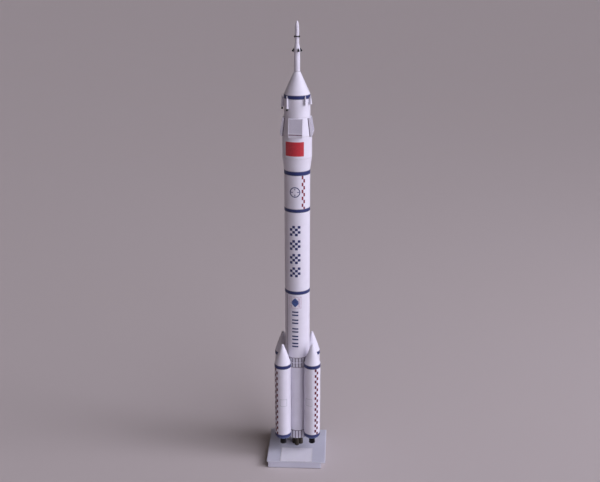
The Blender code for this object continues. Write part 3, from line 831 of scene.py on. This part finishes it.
def make_fin_face(node, place, length, half):
    """The framed face of a fin, with a shallow grid in front of its back card."""
    wide, tall = 2 * (half - FIN_EDGE), length - 2 * FIN_EDGE
    sides = []
    for side in (-1, 1):
        upright = Matrix.Translation((side * (half - FIN_EDGE / 2), 0.0, -FIN_DEPTH / 2))
        level = Matrix.Translation((0.0, side * (length - FIN_EDGE) / 2, -FIN_DEPTH / 2))
        sides += [((FIN_EDGE, length, FIN_DEPTH), place @ upright, 0),
                  ((wide, FIN_EDGE, FIN_DEPTH), place @ level, 0)]
    boxes(node + "_frame", ["card"], sides, "fin_grey")
    # The back card takes the darker fin_back look, painted shade of the recess behind the grid
    bars = [((wide, tall, FIN_BACK), place @ Matrix.Translation((0.0, 0.0, FIN_BACK / 2 - FIN_DEPTH)), 1)]
    shares = [cell / GRID_CELLS - 0.5 for cell in range(1, GRID_CELLS)]
    for share in shares:
        spot = Matrix.Translation((wide * share, 0.0, -UPRIGHT_SET - GRID_DEEP / 2))
        bars.append(((GRID_WIDE, tall, GRID_DEEP), place @ spot, 0))
    for share in shares:
        spot = Matrix.Translation((0.0, tall * share, -LEVEL_SET - GRID_DEEP / 2))
        bars.append(((wide, GRID_WIDE, LEVEL_BAR_DEPTH * GRID_DEEP), place @ spot, 0))
    boxes(node + "_grid", ["fin", "fin_back"], bars, "fin_grey")


def make_fin(index):
    """A folded grid fin: a card wedge with a framed face, painted shadow lines along the roots of its cheeks
    and a dark strip along its foot.
    """
    node = f"grid_fin_{index + 1}"
    angle = FIN_TURN + index * QUARTER_TURN
    foot_reach, foot_z, top_reach, top, bottom, half = fin_plan(node, angle)
    stand = Matrix.Translation((AXIS.x, AXIS.y, 0.0)) @ spun(angle + TURN)
    place, length = sloped_place(stand, (foot_reach, foot_z), (top_reach, top))
    make_fin_face(node, place, length, half)

    # The wedge's inner edges lie inside the fairing's wall.
    section = low("fairing_fin_section")
    taper = (CREW_RADIUS - FAIRING_RADIUS) / (high("fairing_fin_section") - section)
    at_bottom = FAIRING_RADIUS + taper * max(0.0, bottom - section)
    at_top = FAIRING_RADIUS + taper * (top - section)
    inner_bottom = math.sqrt(at_bottom ** 2 - half ** 2) - FIN_EDGE
    inner_top = math.sqrt(at_top ** 2 - half ** 2) - FIN_EDGE
    lip = (at_bottom + FIN_EDGE, bottom)
    gap = FIN_FACE_GAP
    sink = FIN_DEPTH - gap
    outline = [lip, (foot_reach - gap, foot_z), (foot_reach - sink, foot_z + gap),
               (top_reach - sink, top - gap), (top_reach - gap, top), (inner_top, top),
               (inner_bottom, bottom)]
    fin_prism(node + "_wedge", "card", stand, outline, -half, half, node)
    # Dark strips on both cheeks: painted shadow along their roots at the fairing
    inner, outer, end = ROOT_SHADOW_LINE["inner"], ROOT_SHADOW_LINE["outer"], ROOT_SHADOW_LINE["end"]
    root_shadow = [(inner_bottom + outer, bottom + end), (inner_top + outer, top - end),
            (inner_top + inner, top - end), (inner_bottom + inner, bottom + end)]
    for side, name in ((-1, "_left_root_shadow"), (1, "_right_root_shadow")):
        left, right = sorted((side * (half - INK_ROOT), side * (half + INK)))
        fin_prism(node + name, "dark_line", stand, root_shadow, left, right)
    under, reach = sloped_place(stand, lip, (foot_reach, foot_z))
    size = (2 * (half - FOOT_STRIP["inset"]), FOOT_STRIP["tall"] * reach, FIN_BACK)
    spot = under @ Matrix.Translation((0.0, FOOT_STRIP["above"] * reach, 0.0))
    boxes(node + "_foot_strip", ["fin_foot"], [(size, spot, 0)], "fin_grey")


# Motors and tower

LONG_MOTOR = 15.0 * MM  # a motor longer than this ends in a nozzle
MOTOR_TIP = 0.4 * MM
MOTOR_STEPS = 6
MOTOR_TAB = dict(thick=0.5 * MM, tall=0.72, middle=0.42)  # tall and middle: shares of the length
MOTOR_NOZZLE = dict(length=2.6 * MM, throat=0.85 * MM, mouth=1.35 * MM, hole=0.35 * MM)
MOTOR_MOUTH = ((0.1, -0.25, 0.2), (0.0, -0.1, 1.0), (0.15, 0.0, 0.3))
SMALL_BELL_SEGMENTS = 20
TOWER_TAPER = 6.8 * MM  # length of the taper under the rod
TAPER_BEND = 0.4 * MM
TOWER_SEAM = 563.7 * MM
TIP_HEIGHT = 8.4 * MM
# Small bells round the tower: circle on which they stand, turn, throat, mouth, length, cant in degrees
TOWER_BELLS = (5.1 * MM, 21.0, 0.75 * MM, 1.35 * MM, 3.5 * MM, 22.0)
THRUSTERS = (3.9 * MM, -43.0, 0.4 * MM, 0.72 * MM, 1.7 * MM, 35.0)
THRUSTERS_BELOW = 0.5 * MM  # the collar's middle
COLLAR_LIFT = 0.4 * MM
COLLAR_REACH = 3.7 * MM
COLLAR_HALF = 0.55 * MM
TUBE_FOOT = ((0.0, 0.25, 0.8), (0.5, 0.2, 0.5), (0.6, 0.0, 0.3), (1.2, 0.0, 0.0))
SEAM_ROWS = ((-0.15, 0.0, 0.0), (-0.05, -0.12, 1.0), (0.05, -0.12, 1.0), (0.15, 0.0, 0.2))
ROD_FOOT = ((0.0, -0.06, 0.8), (0.1, 0.0, 0.4), (0.8, 0.0, 0.0))
CUFF_ROWS = ((-1.5, 0.05, 0.6), (-1.4, 0.16, 0.5), (1.4, 0.16, 0.5), (1.5, 0.05, 0.6))
COLLAR_ROWS = ((-0.55, -0.15, 0.4), (-0.4, 0.0, 0.8), (0.4, 0.0, 0.8), (0.55, -0.15, 0.4))


def make_motors():
    """Six slim cones on the upper fairing, each with a card tab behind it, the long ones with a nozzle."""
    for index in range(1, 7):
        node = f"fairing_motor_{index}"
        centre = middle(node)
        foot, top = low(node), high(node)
        body = radius_of(node)
        has_nozzle = top - foot > LONG_MOTOR
        joint = foot + (MOTOR_NOZZLE["length"] if has_nozzle else 0.0)
        rows = [(joint, body - LIP, 1.0), (joint + LIP, body, 0.6), (joint + WEAR_REACH, body * 0.96, 0.0)]
        for step in range(1, MOTOR_STEPS):
            share = step / MOTOR_STEPS
            rows.append((joint + (top - joint - MOTOR_TIP) * share, body + (MOTOR_TIP - body) * share, 0.0))
        rows += dome(top - MOTOR_TIP, MOTOR_TIP, MOTOR_TIP, 4, 0.3)
        turned(node + "_cone", rows, ["card"], "white_card", node, centre=centre, segments=SMALL_SEGMENTS)
        if has_nozzle:
            throat, mouth = MOTOR_NOZZLE["throat"], MOTOR_NOZZLE["mouth"]
            rows = [(foot + 1.1 * MM, MOTOR_NOZZLE["hole"], 0.0), *rows_from(foot, mouth, MOTOR_MOUTH),
                    (foot + 1.0 * MM, mouth * 0.95, 0.0), (foot + 1.9 * MM, throat, 0.0),
                    (joint + 0.1 * MM, throat * 0.9, 0.0)]
            turned(node + "_nozzle", rows, ["black"], "nozzle_black", centre=centre, segments=SMALL_SEGMENTS)
        toward = Vector((AXIS.x - centre.x, AXIS.y - centre.y, 0.0))
        reach = toward.length - CREW_RADIUS
        toward.normalize()
        spot = centre + toward * reach / 2
        spot.z = joint + (top - joint) * MOTOR_TAB["middle"]
        place = Matrix.Translation(spot) @ Matrix.Rotation(math.atan2(toward.y, toward.x), 4, "Z")
        size = (reach, MOTOR_TAB["thick"], (top - joint) * MOTOR_TAB["tall"])
        boxes(node + "_tab", ["card"], [(size, place, 0)], "white_card")


def small_bells(name, height, shape, *nodes):
    """Four small canted bells round the tower as one mesh."""
    circle, turn, throat, mouth, length, cant = shape
    points, faces, wear = [], [], []
    segments = SMALL_BELL_SEGMENTS
    profile = [(-0.15, throat * 0.55, 0.0), (0.0, throat * 0.8, 0.0), (0.25, throat, 0.0),
               (0.5, (throat + mouth) / 2, 0.0), (0.8, mouth * 0.96, 0.2), (1.0, mouth, 1.0),
               (1.0, mouth * 0.78, 0.8), (0.7, mouth * 0.5, 0.0)]
    for index in range(4):
        angle = turn + QUARTER_TURN * index
        place = Matrix.Translation(on_rocket(angle, circle, height)) @ spun(angle + TURN) @ spun(-cant, "X")
        first = len(points)
        for share, radius, worn in profile:
            for step in range(segments):
                around = 2 * math.pi * step / segments
                along = length * (0.5 - share)
                points.append(place @ Vector((radius * math.cos(around), radius * math.sin(around), along)))
                wear.append(worn)
        last = first + (len(profile) - 1) * segments
        for row in range(first, last, segments):
            faces += joined(row + segments, row, segments)
        faces.append(tuple(range(first, first + segments)))
        faces.append(tuple(reversed(range(last, last + segments))))
    settle(make_piece(name, points, faces, ["black"], wear=wear), "nozzle_black", *nodes)


def make_tower():
    """The escape tower: card tube with a taper, pointed rod, nozzle ring and collar."""
    foot, top = low("tower_tube"), low("tower_rod")
    rows = rows_from(foot, TOWER_RADIUS, TUBE_FOOT) + rows_from(TOWER_SEAM, TOWER_RADIUS, SEAM_ROWS)
    bend = top - TOWER_TAPER
    rows += [(bend - TAPER_BEND, TOWER_RADIUS, 0.0), (bend + TAPER_BEND, TOWER_RADIUS * 0.985, 0.0),
             (top - 0.5 * MM, ROD_RADIUS * 1.03, 0.0), (top - JOINT_LINE, ROD_RADIUS, 0.6)]
    turned("tower_tube_sleeve", rows, ["card"], "white_card", "tower_tube", segments=TOWER_SEGMENTS)
    tip_foot = high("tower_rod") - TIP_HEIGHT
    rows = rows_from(top, ROD_RADIUS, ROD_FOOT) + [(tip_foot - 0.3 * MM, ROD_RADIUS, 0.0)]
    rows += dome(tip_foot, TIP_HEIGHT, ROD_RADIUS, 14, 0.15)
    turned("tower_rod_sleeve", rows, ["card"], "white_card", "tower_rod", segments=TOWER_SEGMENTS)

    ring = middle("tower_nozzle_ring").z
    rows = rows_from(ring, TOWER_RADIUS, CUFF_ROWS)
    turned("tower_cuff", rows, ["card"], "white_card", segments=TOWER_SEGMENTS)
    small_bells("tower_bells", ring, TOWER_BELLS, "tower_nozzle_ring")
    collar = (low("tower_collar") + high("tower_collar")) / 2 + COLLAR_LIFT
    root = ROD_RADIUS + 0.05 * MM
    rows = [(collar - COLLAR_HALF, root, 0.2), *rows_from(collar, COLLAR_REACH, COLLAR_ROWS),
            (collar + COLLAR_HALF, root, 0.2)]
    turned("tower_collar_ring", rows, ["black"], "nozzle_black", "tower_collar", segments=TOWER_SEGMENTS)
    small_bells("tower_thrusters", collar - THRUSTERS_BELOW, THRUSTERS)


# Boosters

NOSE_TIP = 2.1 * MM
NOSE_BULGE = 0.3 * MM
NOSE_SHARES = (0.04, 0.2, 0.35, 0.5, 0.65, 0.8, 0.9, 1.0)
SKIRT_TAPER = 2.2 * MM
SKIRT_TAIL = 9.9 * MM
BOOSTER_THROAT = 2.8 * MM
BELL_ROOT = 0.25 * MM  # how far the bell reaches up into the skirt
BELL_HOLE = 0.6 * MM
BELL_MOUTH = ((0.3, -0.6, 0.0), (0.0, -0.35, 1.0), (0.15, 0.0, 0.9))


def make_booster_tube(index, name, centre):
    """The checked tube of a booster with the outline of a hatch beside the stripe."""
    stripe = FRONT_STRIPE_ANGLES.get(index, BOOSTER_ANGLES[index] + CORE_TURN)
    foot, top = low(name + "_tube"), low(name + "_band") - JOINT_LINE
    cuts, levels, paint = checks_on(stripe, BOOSTER_STRIPE, BOOSTER_RADIUS, top, foot)
    rows = sleeve_rows(foot, top, BOOSTER_RADIUS, levels=levels)
    turned(name + "_sleeve", rows, ["card", "check"], "white_card", name + "_tube", centre=centre,
           segments=BOOSTER_SEGMENTS, cuts=cuts, paint=paint)
    side = 1.0 if index in (2, 3) else -1.0
    spot = (stripe + side * HATCH["beside"], (HATCH["low"] + HATCH["high"]) / 2)
    edges = rectangle_edges(HATCH["width"], HATCH["high"] - HATCH["low"], HATCH["line"])
    hatch = [(spot, edge) for edge in edges]
    wrapped_patches(name + "_hatch_line", "line", hatch, "white_card", BOOSTER_RADIUS, centre)


def make_booster(index):
    """A booster: checked tube, band, nose cone with a round tip, two-tone skirt and black bell."""
    name = f"booster_{index + 1}"
    centre = middle(name + "_tube")
    make_booster_tube(index, name, centre)
    shape = dict(centre=centre, segments=BOOSTER_SEGMENTS)

    rows = sleeve_rows(low(name + "_band"), low(name + "_nose") - JOINT_LINE, radius_of(name + "_band"))
    turned(name + "_band_wrap", rows, ["navy"], "navy", name + "_band", **shape)

    foot = low(name + "_nose")
    straight = high(name + "_nose") - NOSE_TIP
    rows = [(foot, BOOSTER_RADIUS - LIP, 1.0), (foot + LIP, BOOSTER_RADIUS, 0.7)]
    for share in NOSE_SHARES:
        bulge = NOSE_BULGE * math.sin(math.pi * share)
        radius = BOOSTER_RADIUS + (NOSE_TIP - BOOSTER_RADIUS) * share + bulge
        rows.append((foot + (straight - foot) * share, radius, 0.0))
    rows += dome(straight, NOSE_TIP, NOSE_TIP, 7, 0.2, first=1)
    turned(name + "_nose_cone", rows, ["card"], "white_card", name + "_nose", **shape)

    foot, top = low(name + "_skirt"), low(name + "_tube") - JOINT_LINE
    edge = foot + SKIRT_TAPER
    wrap = radius_of(name + "_skirt")
    rows = rows_from(foot, SKIRT_TAIL, ((0.0, -0.3, 1.0), (0.1, 0.0, 0.8)))
    rows += rows_from(edge, wrap, ((0.0, -0.02, 0.3), (0.15, 0.0, 0.3)))
    rows += [(top - 1.0 * MM, wrap, 0.0), (top - LIP, wrap, 0.4), (top, wrap - LIP, 0.6)]

    def two_tone(where, height):
        return 1 if height < edge else 0

    turned(name + "_skirt_wrap", rows, ["navy", "navy_light"], "navy", name + "_skirt", paint=two_tone,
           **shape)

    node = name + "_nozzle"
    foot, top = low(node), high(node) + BELL_ROOT
    mouth = radius_of(node)
    rows = [(foot + 4.5 * MM, BELL_HOLE, 0.0), (foot + 2.5 * MM, mouth * 0.55, 0.0)]
    rows += rows_from(foot, mouth, BELL_MOUTH)
    rows += [bell_row(1.0 - step / BELL_STEPS, foot, top, mouth, BOOSTER_THROAT)
             for step in range(1, BELL_STEPS + 1)]
    turned(name + "_bell", rows, ["black"], "nozzle_black", node, centre=middle(node),
           segments=SMALL_SEGMENTS)


# Stage

CAMERA_DISTANCE = 1044.0 * MM  # from the rocket's axis, level
CAMERA_HEIGHT = 684.7 * MM
CAMERA_PITCH = 19.25  # degrees down
CAMERA_YAW = 0.195  # degrees to the right of the axis
CAMERA_ROLL = -0.02
LENS = 50.0
SENSOR = 36.0
CLIP = (0.01, 200.0)
FLOOR_REACH = 40.0

LIGHT_TARGET = 0.30  # height that every light is aimed at
KEY_TINT = (1.0, 0.975, 1.14)
SUN_DISTANCE = 3.0
# Suns: strength, degrees across, angle from the camera's side, rise, tint
SUNS = {
    "key": (2.32, 66.0, 54.0, 30.0, KEY_TINT),
    "top": (0.30, 100.0, 54.0, 82.0, (1.04, 0.93, 0.94)),
    "fill": (0.045, 60.0, -82.0, 6.0, (1.0, 0.42, 0.20)),
}
LAMP = dict(angle=76.0, rise=28.0, distance=1.9, size=0.6, power=7.5)
SKY_TINT = (1.0, 0.80, 0.82)
SKY_STRENGTH = 0.01


def make_camera():
    """The camera at the photograph's angle."""
    data = bpy.data.cameras.new("camera")
    data.lens = LENS
    data.sensor_width = SENSOR
    data.sensor_fit = "HORIZONTAL"
    data.clip_start, data.clip_end = CLIP
    camera = add_object("camera", data)
    place = on_rocket(0.0, CAMERA_DISTANCE, CAMERA_HEIGHT)
    turn = spun(TURN - CAMERA_YAW) @ spun(QUARTER_TURN - CAMERA_PITCH, "X") @ spun(CAMERA_ROLL)
    camera.matrix_world = Matrix.Translation(place) @ turn
    bpy.context.scene.camera = camera


def make_floor():
    """A plain pale floor."""
    mesh = bpy.data.meshes.new("floor")
    corners = [(x * FLOOR_REACH, y * FLOOR_REACH, 0.0) for x, y in ((-1, -1), (1, -1), (1, 1), (-1, 1))]
    mesh.from_pydata(corners, [], [(0, 1, 2, 3)])
    floor = add_object("floor", mesh)
    look = Look("floor_paper", roughness=0.9, specular=0.15)
    fine = look.noise(1.5 * MM, detail=2.0)
    clouds = look.spread(look.noise(400.0 * MM, detail=2.0), 0.0, 0.06)
    colour = look.mix(clouds, "floor", "card_edge")
    mesh.materials.append(look.finish(colour, look.spread(fine, 0.8, 0.95), look.bump(fine, 0.01 * MM)))


def light_from(data, angle, rise, distance, tint):
    """A light aimed at the middle of the model from an angle and a rise."""
    data.color = tint
    light = add_object(data.name, data)
    target = Vector((AXIS.x, AXIS.y, LIGHT_TARGET))
    climb = math.radians(rise)
    light.location = on_rocket(angle, distance * math.cos(climb), target.z + distance * math.sin(climb))
    light.rotation_euler = (target - light.location).to_track_quat("-Z", "Y").to_euler()


def make_lights():
    """A wide soft key and a near lamp from the right, soft light from above, a faint warm fill and sky."""
    for name, (strength, across, angle, rise, tint) in SUNS.items():
        sun = bpy.data.lights.new(name, "SUN")
        sun.energy = strength
        sun.angle = math.radians(across)
        light_from(sun, angle, rise, SUN_DISTANCE, tint)
    lamp = bpy.data.lights.new("lamp", "AREA")
    lamp.shape = "DISK"
    lamp.size = LAMP["size"]
    lamp.energy = LAMP["power"]
    light_from(lamp, LAMP["angle"], LAMP["rise"], LAMP["distance"], KEY_TINT)
    world = bpy.data.worlds.new("soft_sky")
    world.use_nodes = True
    sky = world.node_tree.nodes["Background"]
    sky.inputs["Color"].default_value = (*SKY_TINT, 1.0)
    sky.inputs["Strength"].default_value = SKY_STRENGTH
    bpy.context.scene.world = world
    bpy.context.scene.view_settings.view_transform = "Standard"
    bpy.context.scene.view_settings.look = "None"


make_camera()
make_floor()
make_lights()
make_base()
make_label()
make_core()
make_core_nozzles()
make_marks()
for fin_index in range(4):
    make_fin(fin_index)
make_motors()
make_tower()
for booster_index in range(len(BOOSTER_ANGLES)):
    make_booster(booster_index)
